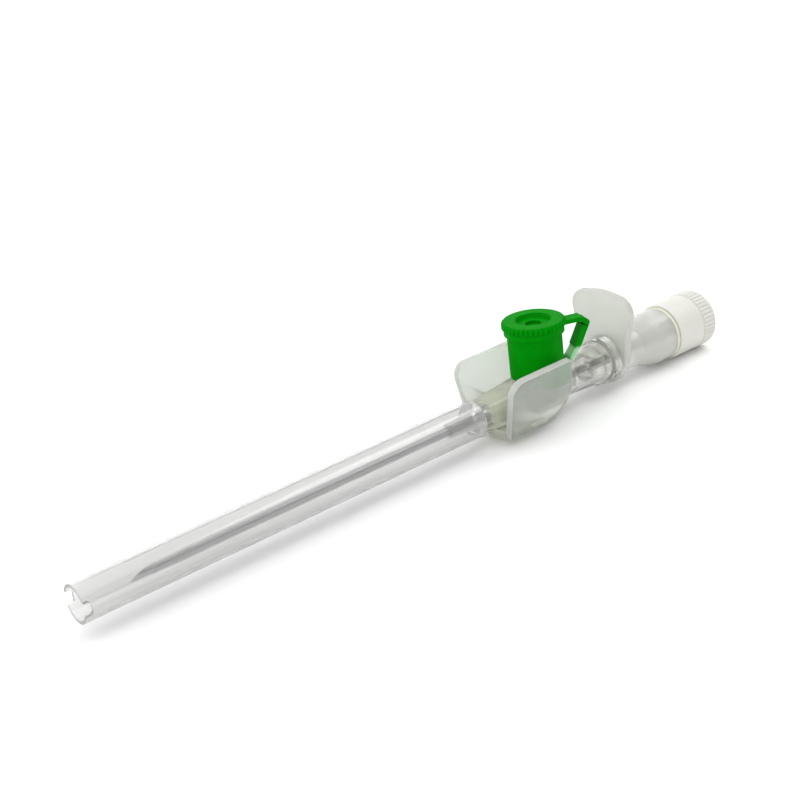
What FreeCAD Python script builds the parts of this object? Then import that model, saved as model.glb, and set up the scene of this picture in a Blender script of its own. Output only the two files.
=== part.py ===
import FreeCAD, Part
import math
import os
from FreeCAD import Vector

# Winged cannula with a side port, millimetres.
# +X runs along the cannula to the rear cap, +Z runs up the port, -Y is the near side.
# The shapes are drawn about the cannula's axis, with the port's axis at x = 0.
# The origin is then moved to the skin face, straight under the port.

# Catheter tube and its eyelet
CATHETER_LENGTH = 45.0
CATHETER_R = 0.65
CATHETER_BORE_R = 0.49
CATHETER_TIP_R = 0.53
CATHETER_TIP_TAPER = 4.0
EYELET_R = 1.05
EYELET_WALL = 0.12
EYELET_CLEARANCE = 0.015
EYELET_SEAT_GAP = 0.06
EYELET_FUNNEL_LENGTH = 1.4
EYELET_RIM_LENGTH = 0.7
EYELET_DEPTH = 4.2

# Needle
NEEDLE_CLEARANCE = 0.03
NEEDLE_WALL = 0.12
NEEDLE_LEAD = 2.95
BEVEL_ANGLE = 19.0
LANCET_LEAD = 0.15
LANCET_TURN = 32.0
LANCET_ANGLE = 24.0
GRINDING_REACH = 5.5

# Catheter hub
HUB_NOSE_X = -16.85
HUB_NOSE_R = 1.0
HUB_NOSE_ROOT_R = 1.3
SPIGOT_LENGTH = 1.3
HUB_FRONT_X = -11.9
HUB_FRONT_HALF = 1.75
HUB_PORT_HALF = 2.5
HUB_EDGE_R = 0.4
FLOW_BORE_STEP = 0.15
HUB_TAIL_START_R = 2.55
HUB_TAIL_END_R = 2.95
HUB_END_X = 12.6
LOCK_FLANGE_R = 3.25
LOCK_FLANGE_THICKNESS = 1.2
LOCK_LUG_R = 3.75
LOCK_LUG_ANGLE = 100.0
LOCK_LUG_START = 95.0

# Conical luer fit between the hub and the needle hub
LUER_MOUTH_R = 2.135
LUER_SLOPE = 0.03
LUER_DEPTH = 7.5
LUER_CLEARANCE = 0.04

# Injection port, its sleeve valve and its socket
PORT_R = 3.05
PORT_SOCKET_R = 2.1
PORT_FLOOR = 0.55
PORT_HOLE_R = 0.9
PORT_MOUTH_R = 2.35
PORT_MOUTH_DEPTH = 1.05
PORT_TOP_Z = 8.65
PORT_BASE_R = 2.95
VALVE_R = 1.72
VALVE_WALL = 0.42
VALVE_LENGTH = 7.6
VALVE_CLEARANCE = 0.03

# Green collar on the port
COLLAR_R = 3.72
COLLAR_FOOT_Z = 1.3
COLLAR_TOP_Z = 8.25
COLLAR_CLEARANCE = 0.05
COLLAR_FOOT_ROUND = 0.5

# Green port cap
CAP_GAP = 0.1
CAP_BAND_R = 4.1
CAP_BAND_HEIGHT = 0.8
CAP_RIM_R = 4.3
CAP_TOP_R = 4.02
CAP_TOP_Z = 10.15
CAP_CHAMFER = 0.3
CAP_RECESS_R = 2.45
CAP_RECESS_DEPTH = 0.6
CAP_DIMPLE_R = 1.1
CAP_DIMPLE_DEPTH = 0.4
CAP_PLUG_CLEARANCE = 0.3
CAP_PLUG_LENGTH = 0.9
CAP_SKIRT_CLEARANCE = 0.25
CAP_ROOF_CLEARANCE = 0.12
CAP_GROOVE_COUNT = 40
GROOVE_DEPTH = 0.14

# Strap between the collar and the cap, with its living hinge
STRAP_TURN = -22.0
STRAP_WIDTH = 1.9
STRAP_THIN = 0.55
STRAP_THICK = 0.88
STRAP_PIVOT = (7.3, 8.3)
STRAP_KNUCKLE_R = 0.3
STRAP_GAP = 0.12
STRAP_TAIL_GAP = 0.42
STRAP_FOOT_BEND_OUT = 4.4
STRAP_BLOCK_START = (5.7, 5.05)
STRAP_ARM_RISE = 0.6
STRAP_ARM_BEND_OUT = 6.7

# Wings and the floor that joins them
WING_THICKNESS = 1.0
WING_ROOT_Y = 3.65
WING_ROOT_Z = -2.6
WING_LENGTH = 8.7
WING_FRONT_X = -9.6
WING_REAR_X = 1.3
WING_SWEEP = 0.12
WING_NEAR_LEAN = 17.0
WING_FAR_LEAN = 9.0
WING_TIP_ROUND = 2.0
WING_SMALL_ROUND = 0.45
WING_HEEL_ROUND = 3.6
WING_HINGE_GAP = 0.08
FLOOR_REAR_X = 0.7
FLOOR_REAR_ROUND = 2.8
FLOOR_WEB_WIDTH = 2.4

# Needle cover
COVER_FRONT_X = -71.6
COVER_REAR_X = -12.1
COVER_FRONT_R = 2.42
COVER_REAR_R = 2.55
COVER_WALL = 0.42
COVER_CLEARANCE = 0.05
COVER_NOTCH_WIDTH = 1.7
COVER_NOTCH_DEPTH = 0.9

# Needle hub with its grip plate and flash chamber
NEEDLE_HUB_GAP = 0.15
NOSE_LENGTH = 4.4
GRIP_THICKNESS = 1.2
GRIP_EDGE_ROUND = 0.35
GRIP_TOP_Z = 10.45
GRIP_HALF_WIDTH = 6.0
GRIP_CROWN_DROP = 1.15
GRIP_CROWN_ROUND = 14.0
GRIP_HEAD_ROUND = 2.5
GRIP_HIP = 4.6
GRIP_HIP_Z = 3.4
GRIP_HIP_ROUND = 5.0
GRIP_WAIST = 4.3
GRIP_WAIST_ROUND = 2.0
GRIP_FLANGE_R = 3.55
GRIP_FOOT_INSET = 0.05
GRIP_FOOT_ANGLE = 24.0
NECK_R = 2.85
NECK_LENGTH = 4.2
NECK_DRAFT = 0.05
SHOULDER_LENGTH = 3.6
SHOULDER_EASE_LENGTH = 0.9
SHOULDER_EASE_DROP = 0.2
CHAMBER_R = 3.85
CHAMBER_WALL = 0.75
CHAMBER_LENGTH = 2.6
NEEDLE_TAIL = 5.2
NEEDLE_GLUE_GAP = 0.02
WELL_MOUTH_GAP = 0.45

# Filter plug, its membrane and the white lock cap
PLUG_CLEARANCE = 0.04
PLUG_LENGTH = 2.6
PLUG_WALL = 0.6
PLUG_RING_THICKNESS = 0.5
PLUG_NECK_R = 2.8
PLUG_NECK_LENGTH = 4.2
PLUG_SOCKET_R = 2.1
PLUG_VENT_R = 1.0
MEMBRANE_THICKNESS = 0.25
MEMBRANE_CLEARANCE = 0.08
LOCK_GAP = 0.1
LOCK_R = 4.12
LOCK_DRAFT = 0.05
LOCK_WALL = 0.7
LOCK_END_X = 32.9
LOCK_END_WALL = 1.2
LOCK_END_ROUND = 0.85
LOCK_BAND_LENGTH = 2.9
LOCK_STEP = 0.08
LOCK_GROOVE_COUNT = 44
LOCK_SPIGOT_CLEARANCE = 0.05
LOCK_SPIGOT_LENGTH = 5.0
LOCK_SPIGOT_TAPER = 0.16

# How far a cut runs past what it cuts, and how near a picked edge lies to its place
OVERRUN = 1.0
TOUCH = 0.01

# Places that follow from the sizes
NEEDLE_R = CATHETER_BORE_R - NEEDLE_CLEARANCE
CATHETER_TIP_X = HUB_NOSE_X - CATHETER_LENGTH
NEEDLE_TIP_X = CATHETER_TIP_X - NEEDLE_LEAD
EYELET_X = HUB_NOSE_X + EYELET_DEPTH
EYELET_RIM_R = EYELET_R + CATHETER_R - CATHETER_BORE_R
FLARE_END_X = EYELET_X + EYELET_FUNNEL_LENGTH
LUER_END_X = HUB_END_X - LUER_DEPTH
LUER_END_R = LUER_MOUTH_R - LUER_SLOPE * LUER_DEPTH
VALVE_SEAT_R = VALVE_R + VALVE_CLEARANCE
VALVE_FRONT_X = LUER_END_X - VALVE_LENGTH - VALVE_CLEARANCE
PORT_SOCKET_FOOT_Z = VALVE_SEAT_R + PORT_FLOOR
SKIN_Z = WING_ROOT_Z - WING_THICKNESS / 2
CAP_FOOT_Z = COLLAR_TOP_Z + CAP_GAP
CAP_RIM_Z = CAP_FOOT_Z + CAP_BAND_HEIGHT
STRAP_ARM_Z = CAP_FOOT_Z + STRAP_ARM_RISE
STRAP_FOOT_Z = HUB_TAIL_START_R + STRAP_TAIL_GAP + STRAP_THIN / 2
GRIP_X = HUB_END_X + NEEDLE_HUB_GAP
NECK_X = GRIP_X + GRIP_THICKNESS
SHOULDER_X = NECK_X + NECK_LENGTH
CHAMBER_X = SHOULDER_X + SHOULDER_LENGTH
CHAMBER_END_X = CHAMBER_X + CHAMBER_LENGTH
CHAMBER_BORE_R = CHAMBER_R - CHAMBER_WALL
RING_END_X = CHAMBER_END_X + PLUG_RING_THICKNESS
LOCK_X = RING_END_X + LOCK_GAP
LOCK_BAND_X = LOCK_END_X - LOCK_BAND_LENGTH

X_AXIS = Vector(1, 0, 0)
Z_AXIS = Vector(0, 0, 1)


# A solid of revolution about the cannula's axis from (x, radius) points
def turned(points):
    wire = Part.makePolygon([Vector(x, 0, r) for x, r in points] + [Vector(points[0][0], 0, points[0][1])])
    return Part.Face(wire).revolve(Vector(0, 0, 0), X_AXIS, 360)


# A solid of revolution about the port's axis from (radius, z) points
def turned_on_port(points):
    wire = Part.makePolygon([Vector(r, 0, z) for r, z in points] + [Vector(points[0][0], 0, points[0][1])])
    return Part.Face(wire).revolve(Vector(0, 0, 0), Z_AXIS, 360)


# A round bar along the cannula's axis
def bar(x_from, x_to, radius):
    return Part.makeCylinder(radius, x_to - x_from, Vector(x_from, 0, 0), X_AXIS)


# A round bar along the port's axis
def post(z_from, z_to, radius):
    return Part.makeCylinder(radius, z_to - z_from, Vector(0, 0, z_from), Z_AXIS)


# A box from its low and high corners
def block(low, high):
    size = high - low
    return Part.makeBox(size.x, size.y, size.z, low)


# A shallow V groove along an axis, whose valley lies GROOVE_DEPTH inside a rim at out
def v_groove(start, out, across, run):
    valley = start + out * (out.Length - GROOVE_DEPTH) / out.Length
    brim = start + out * (out.Length + GROOVE_DEPTH) / out.Length
    half = across * 2 * GROOVE_DEPTH
    outline = [valley, brim - half, brim + half, valley]
    return Part.Face(Part.makePolygon(outline)).extrude(run)


# Grooves cut round a rim, copies of one groove turned about an axis
def grooved(body, groove, axis, count):
    grooves = []
    for index in range(count):
        copy = groove.copy()
        copy.rotate(Vector(0, 0, 0), axis, index * 360.0 / count)
        grooves.append(copy)
    return body.cut(Part.makeCompound(grooves))


# A plate across the strap's plane, from its outline's (distance out, z) points, STRAP_WIDTH wide
def strap_plate(outline):
    points = [Vector(out, -STRAP_WIDTH / 2, z) for out, z in outline]
    face = Part.Face(Part.makePolygon(points + [points[0]]))
    return face.extrude(Vector(0, STRAP_WIDTH, 0))


# A straight strip of the strap between two (distance out, z) points
def strap_strip(start, end, thickness):
    length = math.hypot(end[0] - start[0], end[1] - start[1])
    side_out = -(end[1] - start[1]) / length * thickness / 2
    side_z = (end[0] - start[0]) / length * thickness / 2
    return strap_plate([
        (start[0] + side_out, start[1] + side_z),
        (end[0] + side_out, end[1] + side_z),
        (end[0] - side_out, end[1] - side_z),
        (start[0] - side_out, start[1] - side_z),
    ])


# A round roll across the strap at a (distance out, z) point
def strap_roll(point, radius):
    return Part.makeCylinder(radius, STRAP_WIDTH, Vector(point[0], -STRAP_WIDTH / 2, point[1]), Vector(0, 1, 0))


# Soft catheter tube, tapered at its tip and flared over the eyelet
def catheter_tube():
    return turned([
        (CATHETER_TIP_X, CATHETER_BORE_R),
        (CATHETER_TIP_X, CATHETER_TIP_R),
        (CATHETER_TIP_X + CATHETER_TIP_TAPER, CATHETER_R),
        (EYELET_X, CATHETER_R),
        (FLARE_END_X, EYELET_RIM_R),
        (FLARE_END_X, EYELET_R),
        (EYELET_X, CATHETER_BORE_R),
    ])


# Metal eyelet that wedges the tube's flared end into the hub
def catheter_eyelet():
    rim_end = FLARE_END_X + EYELET_RIM_LENGTH
    seat_r = EYELET_R - EYELET_SEAT_GAP
    return turned([
        (EYELET_X + EYELET_WALL, CATHETER_BORE_R + EYELET_CLEARANCE),
        (FLARE_END_X, seat_r),
        (FLARE_END_X, EYELET_RIM_R),
        (rim_end, EYELET_RIM_R),
        (rim_end, EYELET_R - EYELET_WALL),
        (FLARE_END_X + EYELET_WALL, seat_r - EYELET_WALL),
    ])


# The hub's front body, a rounded square that swells towards the port, larger all round by margin
def hub_front_body(margin):
    sections = []
    for x, half in ((HUB_FRONT_X, HUB_FRONT_HALF + margin), (0.0, HUB_PORT_HALF + margin)):
        square = block(Vector(x, -half, -half), Vector(x + OVERRUN, half, half))
        edges = [e for e in square.Edges if e.BoundBox.XLength > TOUCH]
        rounded = square.makeFillet(HUB_EDGE_R, edges)
        front = min(rounded.Faces, key=lambda f: f.CenterOfMass.x)
        sections.append(front.OuterWire)
    return Part.makeLoft(sections, True)


# The hub's tail, a cone with the locking flange and its two lugs
def hub_tail():
    flange_x = HUB_END_X - LOCK_FLANGE_THICKNESS
    tail = turned([
        (0, 0),
        (0, HUB_TAIL_START_R),
        (LUER_END_X, HUB_TAIL_START_R),
        (flange_x, HUB_TAIL_END_R),
        (flange_x, LOCK_FLANGE_R),
        (HUB_END_X, LOCK_FLANGE_R),
        (HUB_END_X, 0),
    ])
    lug = Part.makeCylinder(LOCK_LUG_R, LOCK_FLANGE_THICKNESS, Vector(flange_x, 0, 0), X_AXIS, LOCK_LUG_ANGLE)
    start = math.degrees(math.atan2(lug.CenterOfMass.z, lug.CenterOfMass.y)) - LOCK_LUG_ANGLE / 2
    lug.rotate(Vector(0, 0, 0), X_AXIS, LOCK_LUG_START - start)
    opposite = lug.copy()
    opposite.rotate(Vector(0, 0, 0), X_AXIS, 180)
    return tail.fuse([lug, opposite])


# The floor between the wings and the web that carries the hub on it
def hub_floor():
    half = WING_ROOT_Y - WING_THICKNESS / 2 - WING_HINGE_GAP
    floor_top = WING_ROOT_Z + WING_THICKNESS / 2
    floor = block(Vector(WING_FRONT_X, -half, SKIN_Z), Vector(FLOOR_REAR_X, half, floor_top))
    rear_edges = [e for e in floor.Edges
                  if e.BoundBox.XMin > FLOOR_REAR_X - TOUCH and abs(e.CenterOfMass.y) > half - TOUCH]
    floor = floor.makeFillet(FLOOR_REAR_ROUND, rear_edges)
    web = block(
        Vector(WING_FRONT_X + WING_THICKNESS, -FLOOR_WEB_WIDTH / 2, floor_top - WING_THICKNESS / 2),
        Vector(FLOOR_REAR_X, FLOOR_WEB_WIDTH / 2, 0),
    )
    return floor.fuse(web)


# Everything hollow in the hub: tube and eyelet seats, flow bore, valve seat, luer socket, and the
# port's socket with the hole that the valve covers
def hub_hollow():
    bore = turned([
        (HUB_NOSE_X - OVERRUN, 0),
        (HUB_NOSE_X - OVERRUN, CATHETER_R),
        (EYELET_X, CATHETER_R),
        (FLARE_END_X, EYELET_RIM_R),
        (VALVE_FRONT_X, EYELET_RIM_R + FLOW_BORE_STEP),
        (VALVE_FRONT_X, VALVE_SEAT_R),
        (LUER_END_X, VALVE_SEAT_R),
        (LUER_END_X, LUER_END_R),
        (HUB_END_X, LUER_MOUTH_R),
        (HUB_END_X + OVERRUN, LUER_MOUTH_R),
        (HUB_END_X + OVERRUN, 0),
    ])
    socket = post(PORT_SOCKET_FOOT_Z, PORT_TOP_Z, PORT_SOCKET_R)
    mouth = post(PORT_TOP_Z - PORT_MOUTH_DEPTH, PORT_TOP_Z + OVERRUN, PORT_MOUTH_R)
    hole = post(0, PORT_SOCKET_FOOT_Z, PORT_HOLE_R)
    return bore.fuse([socket, mouth, hole])


# Clear hub: nose, cover spigot, square front, port, luer tail and floor in one moulding
def catheter_hub():
    nose = turned([
        (HUB_NOSE_X, 0),
        (HUB_NOSE_X, HUB_NOSE_R),
        (HUB_FRONT_X, HUB_NOSE_ROOT_R),
        (HUB_FRONT_X, 0),
    ])
    spigot_r = COVER_REAR_R - COVER_WALL - COVER_CLEARANCE
    spigot = bar(HUB_FRONT_X - SPIGOT_LENGTH, HUB_FRONT_X, spigot_r)
    shell = hub_front_body(0).fuse([
        nose,
        spigot,
        hub_tail(),
        hub_floor(),
        post(WING_ROOT_Z, COLLAR_FOOT_Z - COLLAR_CLEARANCE, PORT_BASE_R),
        post(0, PORT_TOP_Z, PORT_R),
    ])
    return shell.cut(hub_hollow()).removeSplitter()


# A wing as a flat plate with a rounded root, standing on the hinge line at y = 0, z = 0, its ends
# swept forward
def flat_wing():
    half = WING_THICKNESS / 2
    corners = (
        (WING_FRONT_X, 0, 0),
        (WING_FRONT_X - WING_SWEEP * WING_LENGTH, WING_LENGTH, WING_TIP_ROUND),
        (WING_REAR_X - WING_SWEEP * WING_LENGTH, WING_LENGTH, WING_SMALL_ROUND),
        (WING_REAR_X, 0, WING_HEEL_ROUND),
    )
    points = [Vector(x, -half, z) for x, z, radius in corners]
    plate = Part.Face(Part.makePolygon(points + [points[0]])).extrude(Vector(0, WING_THICKNESS, 0))
    for x, z, radius in corners[1:]:
        corner = [e for e in plate.Edges if math.hypot(e.CenterOfMass.x - x, e.CenterOfMass.z - z) < TOUCH]
        plate = plate.makeFillet(radius, corner)
    root_length = WING_REAR_X - WING_HEEL_ROUND - WING_FRONT_X
    root = Part.makeCylinder(half, root_length, Vector(WING_FRONT_X, 0, 0), X_AXIS)
    return plate.fuse(root).removeSplitter()


# A wing folded up beside the port, side -1 near and +1 far
def wing(side, lean):
    folded = flat_wing()
    folded.rotate(Vector(0, 0, 0), X_AXIS, -side * lean)
    folded.translate(Vector(0, side * WING_ROOT_Y, WING_ROOT_Z))
    return folded


# Silicone sleeve that closes the port from inside until fluid presses it in
def port_valve():
    valve_end = LUER_END_X - VALVE_CLEARANCE
    return bar(valve_end - VALVE_LENGTH, valve_end, VALVE_R).cut(
        bar(valve_end - VALVE_LENGTH, valve_end, VALVE_R - VALVE_WALL))


# Turns a piece of the strap about the port's axis to where the strap stands
def turned_to_strap(piece):
    piece.rotate(Vector(0, 0, 0), Z_AXIS, STRAP_TURN)
    return piece


# The lower strap, from the collar's thin hinge strip up the thick block to the elbow
def strap_leg():
    bend = (STRAP_FOOT_BEND_OUT, STRAP_FOOT_Z)
    foot = strap_strip((COLLAR_R - STRAP_THIN / 2, STRAP_FOOT_Z), bend, STRAP_THIN)
    roll = strap_roll(bend, STRAP_THIN / 2)
    strip = strap_strip(bend, STRAP_BLOCK_START, STRAP_THIN)
    run_out = STRAP_PIVOT[0] - STRAP_BLOCK_START[0]
    run_z = STRAP_PIVOT[1] - STRAP_BLOCK_START[1]
    share = 1 - (STRAP_KNUCKLE_R + STRAP_GAP) / math.hypot(run_out, run_z)
    leg_end = (STRAP_BLOCK_START[0] + run_out * share, STRAP_BLOCK_START[1] + run_z * share)
    leg = strap_strip(STRAP_BLOCK_START, leg_end, STRAP_THICK)
    return turned_to_strap(foot.fuse([roll, strip, leg]))


# The upper strap, from the cap's band out and down to the elbow's knuckle
def strap_arm():
    bend = (STRAP_ARM_BEND_OUT, STRAP_ARM_Z)
    arm = strap_strip((CAP_BAND_R - STRAP_THIN, STRAP_ARM_Z), bend, 2 * STRAP_KNUCKLE_R)
    roll = strap_roll(bend, STRAP_KNUCKLE_R)
    slope = strap_strip(bend, STRAP_PIVOT, 2 * STRAP_KNUCKLE_R)
    knuckle = strap_roll(STRAP_PIVOT, STRAP_KNUCKLE_R)
    return turned_to_strap(arm.fuse([roll, slope, knuckle]))


# Green collar that colours the port and straddles the hub's body, with the lower strap
def port_collar():
    sleeve = post(COLLAR_FOOT_Z, COLLAR_TOP_Z, COLLAR_R)
    foot_edge = [e for e in sleeve.Edges if abs(e.CenterOfMass.z - COLLAR_FOOT_Z) < TOUCH]
    sleeve = sleeve.makeFillet(COLLAR_FOOT_ROUND, foot_edge)
    collar = sleeve.fuse(strap_leg()).cut([
        post(0, PORT_TOP_Z, PORT_R + COLLAR_CLEARANCE),
        hub_front_body(COLLAR_CLEARANCE),
        bar(0, STRAP_FOOT_BEND_OUT, HUB_TAIL_START_R + COLLAR_CLEARANCE),
    ])
    return collar.removeSplitter()


# Green cap: chamfered knurled rim over a plain band, stepped recess, plug and upper strap
def port_cap():
    roof_z = PORT_TOP_Z + CAP_ROOF_CLEARANCE
    plug_r = PORT_MOUTH_R - CAP_PLUG_CLEARANCE
    skirt_r = PORT_R + CAP_SKIRT_CLEARANCE
    floor_z = CAP_TOP_Z - CAP_RECESS_DEPTH
    body = turned_on_port([
        (0, roof_z - CAP_PLUG_LENGTH),
        (plug_r - CAP_CHAMFER, roof_z - CAP_PLUG_LENGTH),
        (plug_r, roof_z - CAP_PLUG_LENGTH + CAP_CHAMFER),
        (plug_r, roof_z),
        (skirt_r, roof_z),
        (skirt_r, CAP_FOOT_Z),
        (CAP_BAND_R, CAP_FOOT_Z),
        (CAP_BAND_R, CAP_RIM_Z),
        (CAP_RIM_R, CAP_RIM_Z + GROOVE_DEPTH),
        (CAP_RIM_R, CAP_TOP_Z - CAP_CHAMFER),
        (CAP_TOP_R, CAP_TOP_Z),
        (CAP_RECESS_R, CAP_TOP_Z),
        (CAP_RECESS_R - CAP_CHAMFER, floor_z),
        (CAP_DIMPLE_R, floor_z),
        (CAP_DIMPLE_R, floor_z - CAP_DIMPLE_DEPTH),
        (0, floor_z - CAP_DIMPLE_DEPTH),
    ])
    rim_height = Vector(0, 0, CAP_TOP_Z - CAP_RIM_Z)
    groove = v_groove(Vector(0, 0, CAP_RIM_Z), Vector(CAP_RIM_R, 0, 0), Vector(0, 1, 0), rim_height)
    body = grooved(body, groove, Z_AXIS, CAP_GROOVE_COUNT)
    return body.fuse(strap_arm()).removeSplitter()


# Clear open tube over the needle, slightly wider at the hub, with two notches at its front
def needle_cover():
    outer = turned([
        (COVER_FRONT_X, 0),
        (COVER_FRONT_X, COVER_FRONT_R),
        (COVER_REAR_X, COVER_REAR_R),
        (COVER_REAR_X, 0),
    ])
    inner = turned([
        (COVER_FRONT_X, 0),
        (COVER_FRONT_X, COVER_FRONT_R - COVER_WALL),
        (COVER_REAR_X, COVER_REAR_R - COVER_WALL),
        (COVER_REAR_X, 0),
    ])
    notch = block(
        Vector(COVER_FRONT_X, -COVER_REAR_R, -COVER_NOTCH_WIDTH / 2),
        Vector(COVER_FRONT_X + COVER_NOTCH_DEPTH, COVER_REAR_R, COVER_NOTCH_WIDTH / 2),
    )
    inner_edges = [e for e in notch.Edges
                   if e.BoundBox.XMin > COVER_FRONT_X + COVER_NOTCH_DEPTH - TOUCH
                   and abs(e.CenterOfMass.z) > COVER_NOTCH_WIDTH / 2 - TOUCH]
    notch = notch.makeFillet(COVER_NOTCH_DEPTH / 2, inner_edges)
    return outer.cut(inner).cut(notch)


# Steel needle with a ground bevel facing up and two lancet cuts at its point
def needle():
    tube = bar(NEEDLE_TIP_X, GRIP_X + NEEDLE_TAIL, NEEDLE_R)
    tube = tube.cut(bar(NEEDLE_TIP_X, GRIP_X + NEEDLE_TAIL, NEEDLE_R - NEEDLE_WALL))
    tube = tube.cut(bevel_cutter(BEVEL_ANGLE, NEEDLE_TIP_X, 0))
    for side in (-1, 1):
        tube = tube.cut(bevel_cutter(LANCET_ANGLE, NEEDLE_TIP_X - LANCET_LEAD, side * LANCET_TURN))
    return tube


# The waste above a slanted grinding plane that passes through the needle's lower edge at x
def bevel_cutter(angle, x, turn):
    reach = GRINDING_REACH
    waste = block(Vector(-reach, -reach / 2, 0), Vector(reach, reach / 2, reach))
    waste.rotate(Vector(0, 0, 0), Vector(0, 1, 0), -angle)
    waste.translate(Vector(x, 0, -NEEDLE_R))
    waste.rotate(Vector(0, 0, 0), X_AXIS, turn)
    return waste


# Corners of the grip plate's outline as (y, z, rounding), from its crown down one side to the flange
def grip_corners():
    foot_r = GRIP_FLANGE_R - GRIP_FOOT_INSET
    foot_turn = math.radians(GRIP_FOOT_ANGLE)
    return [
        (0, GRIP_TOP_Z, GRIP_CROWN_ROUND),
        (GRIP_HALF_WIDTH, GRIP_TOP_Z - GRIP_CROWN_DROP, GRIP_HEAD_ROUND),
        (GRIP_HIP, GRIP_HIP_Z, GRIP_HIP_ROUND),
        (GRIP_WAIST, 0, GRIP_WAIST_ROUND),
        (foot_r * math.cos(foot_turn), -foot_r * math.sin(foot_turn), 0),
    ]


# Frosted grip plate behind the hub: a shield drawn in to a waist, its edges softened
def grip_plate():
    down = grip_corners()
    up = [(-y, z, r) for y, z, r in reversed(down[1:])]
    points = [Vector(GRIP_X, y, z) for y, z, r in down + up]
    plate = Part.Face(Part.makePolygon(points + [points[0]])).extrude(Vector(GRIP_THICKNESS, 0, 0))
    for y, z, radius in down:
        if radius:
            plate = plate.makeFillet(radius, edges_at(plate, y, z))
    rims = [e for e in plate.Edges if e.BoundBox.XLength < TOUCH]
    return plate.makeFillet(GRIP_EDGE_ROUND, rims)


# The edges along the cannula at a (y, z) corner and at its mirror image
def edges_at(body, y, z):
    return [e for e in body.Edges if math.hypot(abs(e.CenterOfMass.y) - y, e.CenterOfMass.z - z) < TOUCH]


# Needle hub: male luer nose, grip plate, neck and hollow flash chamber in one moulding
def needle_hub():
    nose_tip_r = LUER_MOUTH_R - LUER_CLEARANCE - LUER_SLOPE * NOSE_LENGTH
    nose = turned([
        (HUB_END_X - NOSE_LENGTH, 0),
        (HUB_END_X - NOSE_LENGTH, nose_tip_r),
        (HUB_END_X, LUER_MOUTH_R - LUER_CLEARANCE),
        (GRIP_X, LUER_MOUTH_R - LUER_CLEARANCE),
        (GRIP_X, GRIP_FLANGE_R),
        (NECK_X, GRIP_FLANGE_R),
        (NECK_X + GRIP_FLANGE_R - NECK_R, NECK_R),
        (SHOULDER_X, NECK_R + NECK_DRAFT),
        (CHAMBER_X - SHOULDER_EASE_LENGTH, CHAMBER_R - SHOULDER_EASE_DROP),
        (CHAMBER_X, CHAMBER_R),
        (CHAMBER_END_X, CHAMBER_R),
        (CHAMBER_END_X, 0),
    ])
    tail_x = GRIP_X + NEEDLE_TAIL
    well_r = NECK_R - CHAMBER_WALL
    hollow = turned([
        (tail_x - CHAMBER_WALL, 0),
        (tail_x - CHAMBER_WALL, NEEDLE_R + WELL_MOUTH_GAP),
        (tail_x, well_r),
        (SHOULDER_X, well_r),
        (CHAMBER_X, CHAMBER_BORE_R),
        (CHAMBER_END_X, CHAMBER_BORE_R),
        (CHAMBER_END_X, 0),
    ])
    needle_seat = bar(HUB_END_X - NOSE_LENGTH, tail_x, NEEDLE_R + NEEDLE_GLUE_GAP)
    return nose.fuse(grip_plate()).cut(hollow.fuse(needle_seat)).removeSplitter()


# Pale vent plug pressed into the chamber: cup, ring that shows, and a socket neck behind
def filter_plug():
    cup_r = CHAMBER_BORE_R - PLUG_CLEARANCE
    front_x = CHAMBER_END_X - PLUG_LENGTH
    seat_x = CHAMBER_END_X - PLUG_WALL
    neck_end = RING_END_X + PLUG_NECK_LENGTH
    return turned([
        (front_x, cup_r - PLUG_WALL),
        (front_x, cup_r),
        (CHAMBER_END_X, cup_r),
        (CHAMBER_END_X, CHAMBER_R),
        (RING_END_X, CHAMBER_R),
        (RING_END_X, PLUG_NECK_R),
        (neck_end, PLUG_NECK_R),
        (neck_end, PLUG_SOCKET_R),
        (RING_END_X, PLUG_SOCKET_R),
        (RING_END_X, PLUG_VENT_R),
        (seat_x, PLUG_VENT_R),
        (seat_x, cup_r - PLUG_WALL),
    ])


# Filter membrane, a disc against the inside of the vent plug
def filter_membrane():
    seat_x = CHAMBER_END_X - PLUG_WALL
    disc_r = CHAMBER_BORE_R - PLUG_CLEARANCE - PLUG_WALL - MEMBRANE_CLEARANCE
    return bar(seat_x - MEMBRANE_THICKNESS, seat_x, disc_r)


# White lock cap: plain sleeve, ribbed and rounded end, and a spigot inside
def lock_cap():
    front_r = LOCK_R - LOCK_DRAFT
    bore_r = LOCK_R - LOCK_WALL
    end_wall_x = LOCK_END_X - LOCK_END_WALL
    spigot_r = PLUG_SOCKET_R - LOCK_SPIGOT_CLEARANCE
    spigot_x = end_wall_x - LOCK_SPIGOT_LENGTH
    sleeve = turned([
        (LOCK_X, bore_r),
        (LOCK_X, front_r),
        (LOCK_BAND_X - LOCK_STEP, LOCK_R),
        (LOCK_BAND_X, LOCK_R - LOCK_STEP),
        (LOCK_BAND_X + LOCK_STEP, LOCK_R + LOCK_STEP),
        (LOCK_END_X, LOCK_R + LOCK_STEP),
        (LOCK_END_X, 0),
        (spigot_x, 0),
        (spigot_x, spigot_r - LOCK_SPIGOT_TAPER),
        (end_wall_x, spigot_r),
        (end_wall_x, bore_r),
    ])
    rim = [e for e in sleeve.Edges if e.BoundBox.XMin > LOCK_END_X - TOUCH and e.BoundBox.ZLength > LOCK_R]
    sleeve = sleeve.makeFillet(LOCK_END_ROUND, rim)
    band_end = Vector(LOCK_BAND_X + LOCK_STEP, 0, 0)
    band_run = Vector(LOCK_BAND_LENGTH, 0, 0)
    groove = v_groove(band_end, Vector(0, 0, LOCK_R + LOCK_STEP), Vector(0, 1, 0), band_run)
    return grooved(sleeve, groove, X_AXIS, LOCK_GROOVE_COUNT)


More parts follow.
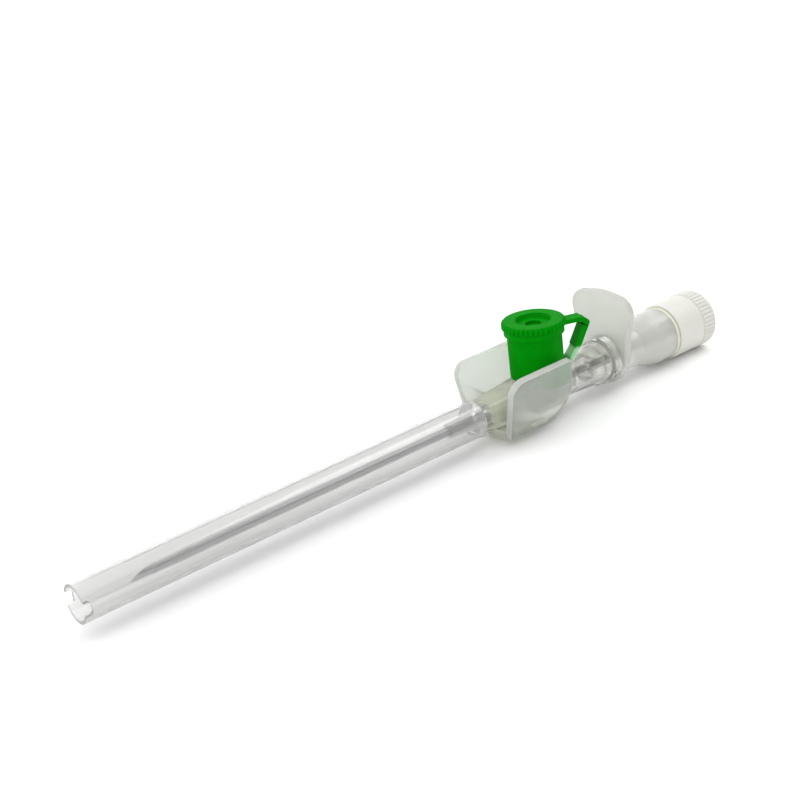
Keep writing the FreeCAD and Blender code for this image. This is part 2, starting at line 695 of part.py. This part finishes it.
# Every piece by its name, moved so that the origin lies on the skin face
def pieces():
    shapes = {
        "catheter_hub": catheter_hub(),
        "catheter_tube": catheter_tube(),
        "catheter_eyelet": catheter_eyelet(),
        "port_valve": port_valve(),
        "port_collar": port_collar(),
        "port_cap": port_cap(),
        "wing_near": wing(-1, WING_NEAR_LEAN),
        "wing_far": wing(1, WING_FAR_LEAN),
        "needle_cover": needle_cover(),
        "needle": needle(),
        "needle_hub": needle_hub(),
        "filter_plug": filter_plug(),
        "filter_membrane": filter_membrane(),
        "lock_cap": lock_cap(),
    }
    for shape in shapes.values():
        shape.translate(Vector(0, 0, -SKIN_Z))
    return shapes


os.makedirs("parts", exist_ok=True)
for name, shape in pieces().items():
    shape.exportStep("parts/" + name + ".step")
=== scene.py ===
import math

import bpy
from mathutils import Matrix, Vector


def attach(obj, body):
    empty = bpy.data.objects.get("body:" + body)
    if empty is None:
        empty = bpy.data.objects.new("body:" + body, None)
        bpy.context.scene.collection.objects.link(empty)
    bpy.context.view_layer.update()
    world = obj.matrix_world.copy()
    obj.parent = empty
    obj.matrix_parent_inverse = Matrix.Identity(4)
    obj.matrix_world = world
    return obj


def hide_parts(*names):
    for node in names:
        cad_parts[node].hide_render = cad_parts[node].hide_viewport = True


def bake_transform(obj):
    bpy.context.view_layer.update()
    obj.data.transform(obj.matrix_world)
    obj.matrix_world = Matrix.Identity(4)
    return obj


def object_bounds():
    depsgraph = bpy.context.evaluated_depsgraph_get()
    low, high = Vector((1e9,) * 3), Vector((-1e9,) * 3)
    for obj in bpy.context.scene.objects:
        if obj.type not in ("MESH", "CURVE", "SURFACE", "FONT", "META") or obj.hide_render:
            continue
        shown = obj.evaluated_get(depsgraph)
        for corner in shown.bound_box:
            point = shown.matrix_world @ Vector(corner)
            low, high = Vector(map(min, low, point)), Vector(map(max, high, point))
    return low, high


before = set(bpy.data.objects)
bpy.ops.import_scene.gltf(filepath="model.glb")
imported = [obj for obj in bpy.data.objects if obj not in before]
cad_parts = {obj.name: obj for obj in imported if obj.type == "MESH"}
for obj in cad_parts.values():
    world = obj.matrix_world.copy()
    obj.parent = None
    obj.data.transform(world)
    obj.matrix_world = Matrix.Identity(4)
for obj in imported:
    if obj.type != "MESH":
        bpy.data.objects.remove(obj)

# Winged cannula with a side port, in metres.
# +X runs to the white rear cap, +Z up the port and -Y is the near side.

cad_low, cad_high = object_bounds()

MM = 0.001
REARWARDS = (1, 0, 0)
UPWARDS = (0, 0, 1)

# The strap stands out from the port, turned this far to the near side
STRAP_TURN = math.radians(22)
STRAP_OUT = (math.cos(STRAP_TURN), -math.sin(STRAP_TURN), 0)


# Materials

# Where a finish, or the painted glow of the strap's thin strip, starts and is complete, in mm
GLUE_FRONT = (-11.6, -9.8)
GLUE_REAR = (2.0, -8.0)
NOSE_BORDER = (12.8, 12.5)
CHAMBER_BORDER = (13.9, 15.2)
# Where the strap's thin strip is: painted glow in its colour, and some real transmission
STRIP_BORDER = (4.25, 4.7)
STRIP_TOP = (8.35, 7.95)

# Sockets of a Mix node, for colours and for numbers
FIRST_COLOUR, SECOND_COLOUR, MIXED_COLOUR = 6, 7, 2
FIRST_NUMBER, SECOND_NUMBER, MIXED_NUMBER = 2, 3, 0


def hex_colour(code):
    """Linear red, green, blue and alpha of an sRGB hex code."""
    channels = [int(code[i:i + 2], 16) / 255 for i in (0, 2, 4)]
    linear = [c / 12.92 if c <= 0.04045 else ((c + 0.055) / 1.055) ** 2.4 for c in channels]
    return (*linear, 1.0)


def add_node(tree, kind, values=None, links=None, **settings):
    """One node with its settings, its socket values and what is linked into it."""
    node = tree.nodes.new(kind)
    for name, value in settings.items():
        setattr(node, name, value)
    for socket, value in (values or {}).items():
        node.inputs[socket].default_value = value
    for socket, source in (links or {}).items():
        tree.links.new(source, node.inputs[socket])
    return node


def new_material(name, **values):
    """A Principled material with the values set on its own sockets."""
    material = bpy.data.materials.new(name)
    material.use_nodes = True
    tree = material.node_tree
    shader = tree.nodes["Principled BSDF"]
    for socket, value in values.items():
        shader.inputs[socket.replace("_", " ")].default_value = value
    place = add_node(tree, "ShaderNodeTexCoord").outputs["Object"]
    return material, tree, shader, place


def stretched_noise(tree, place, size_mm, stretch=(1, 1, 1), detail=2.0):
    """Noise with features of a real size in millimetres, drawn out along an axis."""
    scale = tuple(1 / (size_mm * MM * s) for s in stretch)
    mapping = add_node(tree, "ShaderNodeMapping", {"Scale": scale}, {"Vector": place})
    noise = add_node(tree, "ShaderNodeTexNoise", {"Scale": 1.0, "Detail": detail},
                     {"Vector": mapping.outputs["Vector"]})
    return noise.outputs["Fac"]


def zone(tree, place, direction, border_mm):
    """Goes from 0 to 1 over a soft border, measured along a direction."""
    reach = add_node(tree, "ShaderNodeVectorMath", {1: direction}, {0: place}, operation="DOT_PRODUCT")
    start, end = border_mm
    return add_node(tree, "ShaderNodeMapRange", {"From Min": start * MM, "From Max": end * MM},
                    {"Value": reach.outputs["Value"]}).outputs["Result"]


def vary(tree, shader, socket, pattern, low, high, start=0.2, end=0.8):
    """Lets a pattern move one of the shader's values from low to high."""
    spread = add_node(tree, "ShaderNodeMapRange",
                      {"From Min": start, "From Max": end, "To Min": low, "To Max": high},
                      {"Value": pattern})
    tree.links.new(spread.outputs["Result"], shader.inputs[socket])


def dye(tree, shader, pattern, first, second):
    """Colours the shader from first to second, each a hex code or an earlier dye."""
    mix = add_node(tree, "ShaderNodeMix", links={"Factor": pattern}, data_type="RGBA")
    for socket, colour in ((FIRST_COLOUR, first), (SECOND_COLOUR, second)):
        if isinstance(colour, str):
            mix.inputs[socket].default_value = hex_colour(colour)
        else:
            tree.links.new(colour, mix.inputs[socket])
    tree.links.new(mix.outputs[MIXED_COLOUR], shader.inputs["Base Color"])
    return mix.outputs[MIXED_COLOUR]


def surface(tree, shader, height, depth_mm, strength, edge_mm=0.0):
    """Bump from a height, over edges that look rounded to a radius."""
    bump = add_node(tree, "ShaderNodeBump", {"Strength": strength, "Distance": depth_mm * MM},
                    {"Height": height})
    if edge_mm:
        edge = add_node(tree, "ShaderNodeBevel", {"Radius": edge_mm * MM}, samples=4)
        tree.links.new(edge.outputs["Normal"], bump.inputs["Normal"])
    tree.links.new(bump.outputs["Normal"], shader.inputs["Normal"])


def clear_polypropylene_tube():
    # Extruded and cut to length: glossy, with faint die lines along it
    material, tree, shader, place = new_material(
        "clear_polypropylene_tube", Transmission_Weight=0.8, IOR=1.49)
    lines = stretched_noise(tree, place, 0.45, stretch=(80, 1, 1))
    clearer = add_node(tree, "ShaderNodeMapRange", {"From Min": 0.3, "From Max": 0.7}, {"Value": lines})
    dye(tree, shader, clearer.outputs["Result"], "E8E8E7", "F7F7F6")
    vary(tree, shader, "Roughness", lines, 0.05, 0.12)
    surface(tree, shader, lines, 0.02, 0.25)
    return material


def clear_moulded_hub():
    # Polished mould: clear with slow waves, tinted towards the front by the glue that holds the tube
    material, tree, shader, place = new_material("clear_moulded_copolyester", IOR=1.5)
    glue = add_node(tree, "ShaderNodeMath", links={
        0: zone(tree, place, REARWARDS, GLUE_FRONT),
        1: zone(tree, place, REARWARDS, GLUE_REAR),
    }, operation="MULTIPLY").outputs[0]
    waves = stretched_noise(tree, place, 1.2, stretch=(5, 1, 1))
    clear = dye(tree, shader, waves, "F8F9F5", "FDFDFA")
    dye(tree, shader, glue, clear, "F3F5E4")
    vary(tree, shader, "Transmission Weight", glue, 0.9, 0.66, start=0.0, end=1.0)
    vary(tree, shader, "Roughness", waves, 0.06, 0.12, start=0.3, end=0.7)
    surface(tree, shader, waves, 0.03, 0.06, edge_mm=0.15)
    return material


def frosted_polypropylene(name, transmission, roughness):
    # Spark-eroded mould: an even, fine frost that blurs what lies behind
    material, tree, shader, place = new_material(
        name, Transmission_Weight=transmission, IOR=1.49)
    frost = stretched_noise(tree, place, 0.12, detail=3.0)
    clouds = stretched_noise(tree, place, 3.0)
    dye(tree, shader, clouds, "DEE2DB", "E8EBE5")
    vary(tree, shader, "Roughness", frost, roughness - 0.02, roughness + 0.02)
    surface(tree, shader, clouds, 0.02, 0.2)
    return material


def moulded_polycarbonate():
    # One moulding with three finishes: a clear nose, a frosted grip plate and a hazy chamber
    material, tree, shader, place = new_material("moulded_polycarbonate", IOR=1.55)
    nose = zone(tree, place, REARWARDS, NOSE_BORDER)
    chamber = zone(tree, place, REARWARDS, CHAMBER_BORDER)
    grain = stretched_noise(tree, place, 0.12, detail=3.0)
    clouds = stretched_noise(tree, place, 2.5)
    plate_colour = dye(tree, shader, clouds, "DCDDD6", "E4E5DF")
    chamber_colour = dye(tree, shader, clouds, "EAEBE5", "F1F2ED")
    dye(tree, shader, chamber, plate_colour, chamber_colour)
    smooth = add_node(tree, "ShaderNodeMath", links={0: nose, 1: chamber}, operation="MAXIMUM").outputs[0]
    frost = add_node(tree, "ShaderNodeMapRange",
                     {"From Min": 0.2, "From Max": 0.8, "To Min": 0.4, "To Max": 0.55}, {"Value": grain})
    polish = add_node(tree, "ShaderNodeMix", {FIRST_NUMBER: 0.22, SECOND_NUMBER: 0.03}, {"Factor": nose})
    rough = add_node(tree, "ShaderNodeMix", links={
        "Factor": smooth,
        FIRST_NUMBER: frost.outputs["Result"],
        SECOND_NUMBER: polish.outputs[MIXED_NUMBER],
    })
    tree.links.new(rough.outputs[MIXED_NUMBER], shader.inputs["Roughness"])
    haze = add_node(tree, "ShaderNodeMapRange", {"To Min": 0.5, "To Max": 0.52}, {"Value": chamber})
    nose_clearness = add_node(tree, "ShaderNodeMapRange", {"To Max": 0.95}, {"Value": nose})
    clearness = add_node(tree, "ShaderNodeMath", links={
        0: haze.outputs["Result"],
        1: nose_clearness.outputs["Result"],
    }, operation="MAXIMUM")
    tree.links.new(clearness.outputs[0], shader.inputs["Transmission Weight"])
    surface(tree, shader, grain, 0.012, 0.4, edge_mm=0.15)
    return material


def soft_clear(name, colour, roughness, transmission, ior):
    # Soft and waxy: lets light through and blurs it
    material, tree, shader, place = new_material(
        name, Transmission_Weight=transmission, IOR=ior, Base_Color=hex_colour(colour))
    grain = stretched_noise(tree, place, 0.2, stretch=(8, 1, 1))
    vary(tree, shader, "Roughness", grain, roughness - 0.06, roughness + 0.06)
    surface(tree, shader, grain, 0.004, 0.2)
    return material


def dyed_polyethylene(name, colour, light_colour, roughness, gloss, scatter):
    # Dyed through and moulded: satin, with slight clouds of dye and a fine mould grain
    material, tree, shader, place = new_material(
        name, IOR=1.51, Specular_IOR_Level=gloss, Subsurface_Weight=scatter,
        Subsurface_Scale=0.4 * MM, Subsurface_Radius=(1.0, 1.0, 1.0))
    clouds = stretched_noise(tree, place, 1.4, detail=3.0)
    tint = dye(tree, shader, clouds, colour, light_colour)
    grain = stretched_noise(tree, place, 0.1, detail=3.0)
    vary(tree, shader, "Roughness", grain, roughness - 0.07, roughness + 0.07)
    surface(tree, shader, grain, 0.01, 0.4, edge_mm=0.12)
    return material, tree, shader, place, tint


def green_polyethylene():
    # The thin strip at the strap's foot lets some light through, and its paler colour is a painted glow of
    # the light coming through it
    material, tree, shader, place, tint = dyed_polyethylene(
        "green_polyethylene", "007C04", "008E08", 0.5, 0.02, 0.08)
    thin_strip_with_painted_glow = add_node(tree, "ShaderNodeMath", links={
        0: zone(tree, place, STRAP_OUT, STRIP_BORDER),
        1: zone(tree, place, UPWARDS, STRIP_TOP),
    }, operation="MULTIPLY").outputs[0]
    # Painted glow: the strip's colour is lifted towards pale green
    dye(tree, shader, thin_strip_with_painted_glow, tint, "A6E6A8")
    vary(tree, shader, "Transmission Weight", thin_strip_with_painted_glow, 0.0, 0.2, start=0.0, end=1.0)
    return material


def drawn_steel(name, colour, light_colour, roughness):
    # Drawn stainless tube: fine lengthwise scratches
    material, tree, shader, place = new_material(name, Metallic=1.0)
    scratches = stretched_noise(tree, place, 0.05, stretch=(80, 1, 1))
    dye(tree, shader, scratches, colour, light_colour)
    vary(tree, shader, "Roughness", scratches, roughness - 0.08, roughness + 0.08)
    surface(tree, shader, scratches, 0.004, 0.4)
    return material


GREEN = green_polyethylene()
FROSTED = frosted_polypropylene("frosted_polypropylene_wing", transmission=0.78, roughness=0.19)
FROSTED_EDGE = frosted_polypropylene("frosted_polypropylene_edge", transmission=0.6, roughness=0.3)
FINISH = {
    "needle_cover": clear_polypropylene_tube(),
    "catheter_hub": clear_moulded_hub(),
    "wing_near": FROSTED,
    "wing_far": FROSTED,
    "needle_hub": moulded_polycarbonate(),
    "catheter_tube": soft_clear("fluoropolymer_tube", "F8F8F8", 0.08, 0.95, 1.34),
    "port_valve": soft_clear("silicone_rubber", "EEEEEA", 0.4, 0.6, 1.41),
    "port_collar": GREEN,
    "port_cap": GREEN,
    "lock_cap": dyed_polyethylene("white_polyethylene", "D3D2CB", "DBDAD4", 0.45, 0.3, 0.2)[0],
    "filter_plug": dyed_polyethylene("natural_polyethylene", "D8DAC0", "E2E3D0", 0.45, 0.3, 0.4)[0],
    "filter_membrane": dyed_polyethylene("porous_membrane", "F0F0EC", "FAFAF8", 0.8, 0.2, 0.1)[0],
    "needle": drawn_steel("drawn_stainless_steel", "AEB0B2", "C0C2C4", 0.12),
    "catheter_eyelet": drawn_steel("stamped_stainless_steel", "8A8C8E", "A8AAAC", 0.2),
}

for name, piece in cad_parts.items():
    piece.data.materials.clear()
    piece.data.materials.append(FINISH[name])


# Pieces

SMOOTH_ANGLE = math.radians(35)

# How far each wing leans out from upright, in degrees
NEAR_LEAN = 17.0
FAR_LEAN = 9.0
WING_ROUNDING = 0.15 * MM
WING_FACE = 0.8

# The thin strip along a fold: its front end, its section, and each run with the growth after it
WEB_FRONT = (-9.45 * MM, 3.2 * MM, 0.42 * MM)
WEB_SECTION = (0.3 * MM, 0.5 * MM)
WEB_RUNS = ((0.2 * MM, 1.3), (6.4 * MM, 1.0), (0.3 * MM, 0.75))

# The strap's pivot, block and bend, in the strap's own plane, as in the solids
STRAP_PIVOT = Vector((7.3, 0, 11.4)) * MM
STRAP_BLOCK_START = Vector((5.7, 0, 8.15)) * MM
STRAP_ARM_BEND = Vector((6.7, 0, 12.05)) * MM
ELBOW_SECTION = (0.26 * MM, 1.84 * MM)
ELBOW_OFFSET = 0.33 * MM
ELBOW_FOOT_RUNS = (0.5 * MM, 0.4 * MM, 0.4 * MM)
ELBOW_STEPS = 6
ELBOW_TIP_RUNS = ((0.3 * MM, 0.02 * MM), (0.3 * MM, 0.1 * MM))

# The port cap's ribbed rim: its section as steps in from the radius, and heights
CAP_RIBS = 40
RIB_COLUMNS = 6
VALLEY_COLUMNS = (0, 1)
RIB_VALLEY = 0.945
RIB_FOOT = 0.1 * MM
RIB_DEPTH = 0.18 * MM
RIM_R = 4.34 * MM
RIM_FOOT_Z = 12.25 * MM
CAP_TOP_Z = 13.25 * MM
RIM_SECTION = (
    (0.2 * MM, RIM_FOOT_Z),
    (0.0, RIM_FOOT_Z + 0.14 * MM),
    (0.0, CAP_TOP_Z - 0.36 * MM),
    (0.05 * MM, CAP_TOP_Z - 0.2 * MM),
    (0.17 * MM, CAP_TOP_Z - 0.06 * MM),
    (0.34 * MM, CAP_TOP_Z + 0.01 * MM),
    (0.44 * MM, CAP_TOP_Z - 0.1 * MM),
    (0.44 * MM, RIM_FOOT_Z),
    (0.2 * MM, RIM_FOOT_Z),
)


def edit(piece):
    """Opens only this piece for editing, all of it selected."""
    bpy.ops.object.select_all(action="DESELECT")
    piece.select_set(True)
    bpy.context.view_layer.objects.active = piece
    bpy.ops.object.mode_set(mode="EDIT")
    bpy.ops.mesh.select_all(action="SELECT")


def start_plane(location, rotation, size):
    """A flat start for a strip, open for editing."""
    bpy.ops.object.select_all(action="DESELECT")
    bpy.ops.mesh.primitive_plane_add(size=1.0, location=location, rotation=rotation)
    piece = bpy.context.object
    piece.scale = (*size, 1)
    bpy.ops.object.transform_apply(location=True, rotation=True, scale=True)
    edit(piece)
    return piece


def extrude(move=(0, 0, 0)):
    bpy.ops.mesh.extrude_region_move(TRANSFORM_OT_translate={"value": move})


def finish_piece(piece, name, material):
    """Merges, closes and smooths a piece that is open for editing, and gives it its finish."""
    bpy.ops.mesh.select_all(action="SELECT")
    bpy.ops.mesh.remove_doubles(threshold=0.0005 * MM)
    bpy.ops.mesh.normals_make_consistent(inside=False)
    bpy.ops.object.mode_set(mode="OBJECT")
    bpy.ops.object.transform_apply(location=True, rotation=True, scale=True)
    bpy.ops.object.shade_smooth_by_angle(angle=SMOOTH_ANGLE)
    piece.name = name
    piece.data.name = name
    piece.data.materials.clear()
    piece.data.materials.append(material)


def wing(node, body, side, lean):
    """A wing with soft edges, whose rim is frosted more densely than its faces."""
    name = node + "_moulding"
    piece = bpy.data.objects.new(name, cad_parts[node].data.copy())
    bpy.context.collection.objects.link(piece)
    edit(piece)
    bpy.ops.mesh.remove_doubles(threshold=0.001 * MM)
    bpy.ops.mesh.dissolve_limited(angle_limit=math.radians(1.0))
    bpy.ops.object.mode_set(mode="OBJECT")
    rounding = piece.modifiers.new("rounding", "BEVEL")
    rounding.width = WING_ROUNDING
    rounding.segments = 3
    rounding.limit_method = "ANGLE"
    rounding.angle_limit = math.radians(40)
    bpy.ops.object.modifier_apply(modifier="rounding")
    edit(piece)
    finish_piece(piece, name, FINISH[node])
    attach(piece, body)
    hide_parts(node)
    piece.data.materials.append(FROSTED_EDGE)
    across = Vector((0, math.cos(math.radians(lean)), -side * math.sin(math.radians(lean))))
    for face in piece.data.polygons:
        face.material_index = int(abs(face.normal.dot(across)) < WING_FACE)


def wing_web(body, side):
    """The thin strip that joins the floor to a wing along the fold."""
    x, y, z = WEB_FRONT
    front = Vector((x, side * y, z))
    piece = start_plane(front, (0, math.radians(90), 0), WEB_SECTION)
    for run, growth in WEB_RUNS:
        extrude((run, 0, 0))
        bpy.ops.transform.resize(value=(1, 1, growth))
    finish_piece(piece, body + "_web", FINISH["catheter_hub"])
    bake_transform(piece)


def strap_elbow():
    """The thin outer skin that joins the strap's block to its upper arm and bends at the pivot."""
    block = (STRAP_PIVOT - STRAP_BLOCK_START).normalized()
    arm = (STRAP_ARM_BEND - STRAP_PIVOT).normalized()
    outward = Vector((block.z, 0, -block.x))
    foot = STRAP_PIVOT - block * sum(ELBOW_FOOT_RUNS) + outward * ELBOW_OFFSET
    piece = start_plane(foot, (0, math.atan2(block.x, block.z), 0), ELBOW_SECTION)
    for run in ELBOW_FOOT_RUNS:
        extrude(block * run)
    # The operator turns the other way round the axis, here and below
    for _ in range(ELBOW_STEPS):
        extrude()
        bpy.ops.transform.rotate(value=block.angle(arm) / ELBOW_STEPS, orient_axis="Y",
                                 center_override=STRAP_PIVOT)
    inward = Vector((-arm.z, 0, arm.x))
    for run, sink in ELBOW_TIP_RUNS:
        extrude(arm * run + inward * sink)
    bpy.ops.mesh.select_all(action="SELECT")
    bpy.ops.transform.rotate(value=STRAP_TURN, orient_axis="Z", center_override=(0, 0, 0))
    finish_piece(piece, "strap_elbow", GREEN)
    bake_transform(piece)


def cap_rim():
    """The ribbed ring round the cap, with its ribs running over the top edge."""
    columns = CAP_RIBS * RIB_COLUMNS
    inset, z = RIM_SECTION[0]
    bpy.ops.object.select_all(action="DESELECT")
    bpy.ops.mesh.primitive_circle_add(vertices=columns, radius=RIM_R - inset, location=(0, 0, z))
    piece = bpy.context.object
    bpy.ops.object.transform_apply(location=True, rotation=True, scale=True)
    edit(piece)
    bpy.ops.mesh.select_mode(type="VERT")
    for next_inset, next_z in RIM_SECTION[1:]:
        growth = (RIM_R - next_inset) / (RIM_R - inset)
        extrude((0, 0, next_z - z))
        bpy.ops.transform.resize(value=(growth, growth, 1), center_override=(0, 0, 0))
        inset, z = next_inset, next_z
    bpy.ops.object.mode_set(mode="OBJECT")
    for vertex in piece.data.vertices:
        column = round(math.atan2(vertex.co.y, vertex.co.x) / math.tau * columns) % RIB_COLUMNS
        on_rib = vertex.co.xy.length > RIM_R - RIB_DEPTH and vertex.co.z > RIM_FOOT_Z + RIB_FOOT
        vertex.select = on_rib and column in VALLEY_COLUMNS
    for edge in piece.data.edges:
        edge.select = False
    for face in piece.data.polygons:
        face.select = False
    bpy.ops.object.mode_set(mode="EDIT")
    bpy.ops.transform.resize(value=(RIB_VALLEY, RIB_VALLEY, 1), center_override=(0, 0, 0))
    finish_piece(piece, "cap_rim", GREEN)
    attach(piece, "cap")


wing("wing_near", "near_wing", -1, NEAR_LEAN)
wing("wing_far", "far_wing", 1, FAR_LEAN)
wing_web("near_wing", -1)
wing_web("far_wing", 1)
strap_elbow()
cap_rim()


# Studio

FLOOR_WIDTH = 4.0
ROOM_LIGHT = 1.32
DIM_LIGHT = 0.04
DIM_SIDE = (0.5, -0.75, 0.43)
DIM_BORDER = (0.72, 0.92)
AIM = Vector((-0.02, 0, 0))
LAMPS = (
    # name, place, size, watts
    ("key", (0.33, -0.12, 0.48), (0.3, 0.25), 0.7),
    ("fill", (-0.4, -0.5, 0.3), (0.4, 0.4), 0.3),
)

# The photo's camera: its place in mm, its directions and its focal length in pixels of the photo
EYE = (-126.4, -135.5, 80.8)
EYE_RIGHT = (0.761, -0.638, -0.120)
EYE_FORWARD = (0.557, 0.736, -0.384)
FOCAL_PIXELS = 1467
PHOTO_WIDTH = 800
SENSOR_WIDTH = 36.0


def studio():
    bpy.ops.mesh.primitive_plane_add(size=FLOOR_WIDTH, location=(0, 0, cad_low.z))
    floor = bpy.context.object
    floor.name = "floor"
    paint = new_material("pale_floor", Base_Color=hex_colour("FCFCFC"), Roughness=0.9)[0]
    floor.data.materials.append(paint)

    world = bpy.data.worlds.new("studio")
    world.use_nodes = True
    tree = world.node_tree
    sky = tree.nodes["Background"]
    sky.inputs["Color"].default_value = hex_colour("FFFFFF")
    # A white room with one dim side, which gives steel and clear plastic something to show
    direction = add_node(tree, "ShaderNodeTexCoord").outputs["Generated"]
    facing = add_node(tree, "ShaderNodeVectorMath", {1: DIM_SIDE}, {0: direction}, operation="DOT_PRODUCT")
    start, end = DIM_BORDER
    light = add_node(tree, "ShaderNodeMapRange",
                     {"From Min": start, "From Max": end, "To Min": ROOM_LIGHT, "To Max": DIM_LIGHT},
                     {"Value": facing.outputs["Value"]})
    tree.links.new(light.outputs["Result"], sky.inputs["Strength"])
    bpy.context.scene.world = world

    for name, place, size, watts in LAMPS:
        light = bpy.data.lights.new(name, "AREA")
        light.shape = "RECTANGLE"
        light.size, light.size_y = size
        light.energy = watts
        lamp = bpy.data.objects.new(name, light)
        lamp.location = place
        lamp.rotation_euler = (AIM - Vector(place)).to_track_quat("-Z", "Y").to_euler()
        bpy.context.collection.objects.link(lamp)


def camera():
    lens = bpy.data.cameras.new("camera")
    lens.sensor_width = SENSOR_WIDTH
    lens.lens = FOCAL_PIXELS / PHOTO_WIDTH * SENSOR_WIDTH
    lens.clip_start = 0.005
    forward = Vector(EYE_FORWARD).normalized()
    up = Vector(EYE_RIGHT).normalized().cross(forward).normalized()
    right = forward.cross(up).normalized()
    eye = bpy.data.objects.new("camera", lens)
    turn = Matrix((right, up, -forward)).transposed().to_4x4()
    eye.matrix_world = Matrix.Translation(Vector(EYE) * MM) @ turn
    bpy.context.collection.objects.link(eye)
    bpy.context.scene.camera = eye


studio()
camera()
bpy.context.scene.view_settings.view_transform = "Standard"
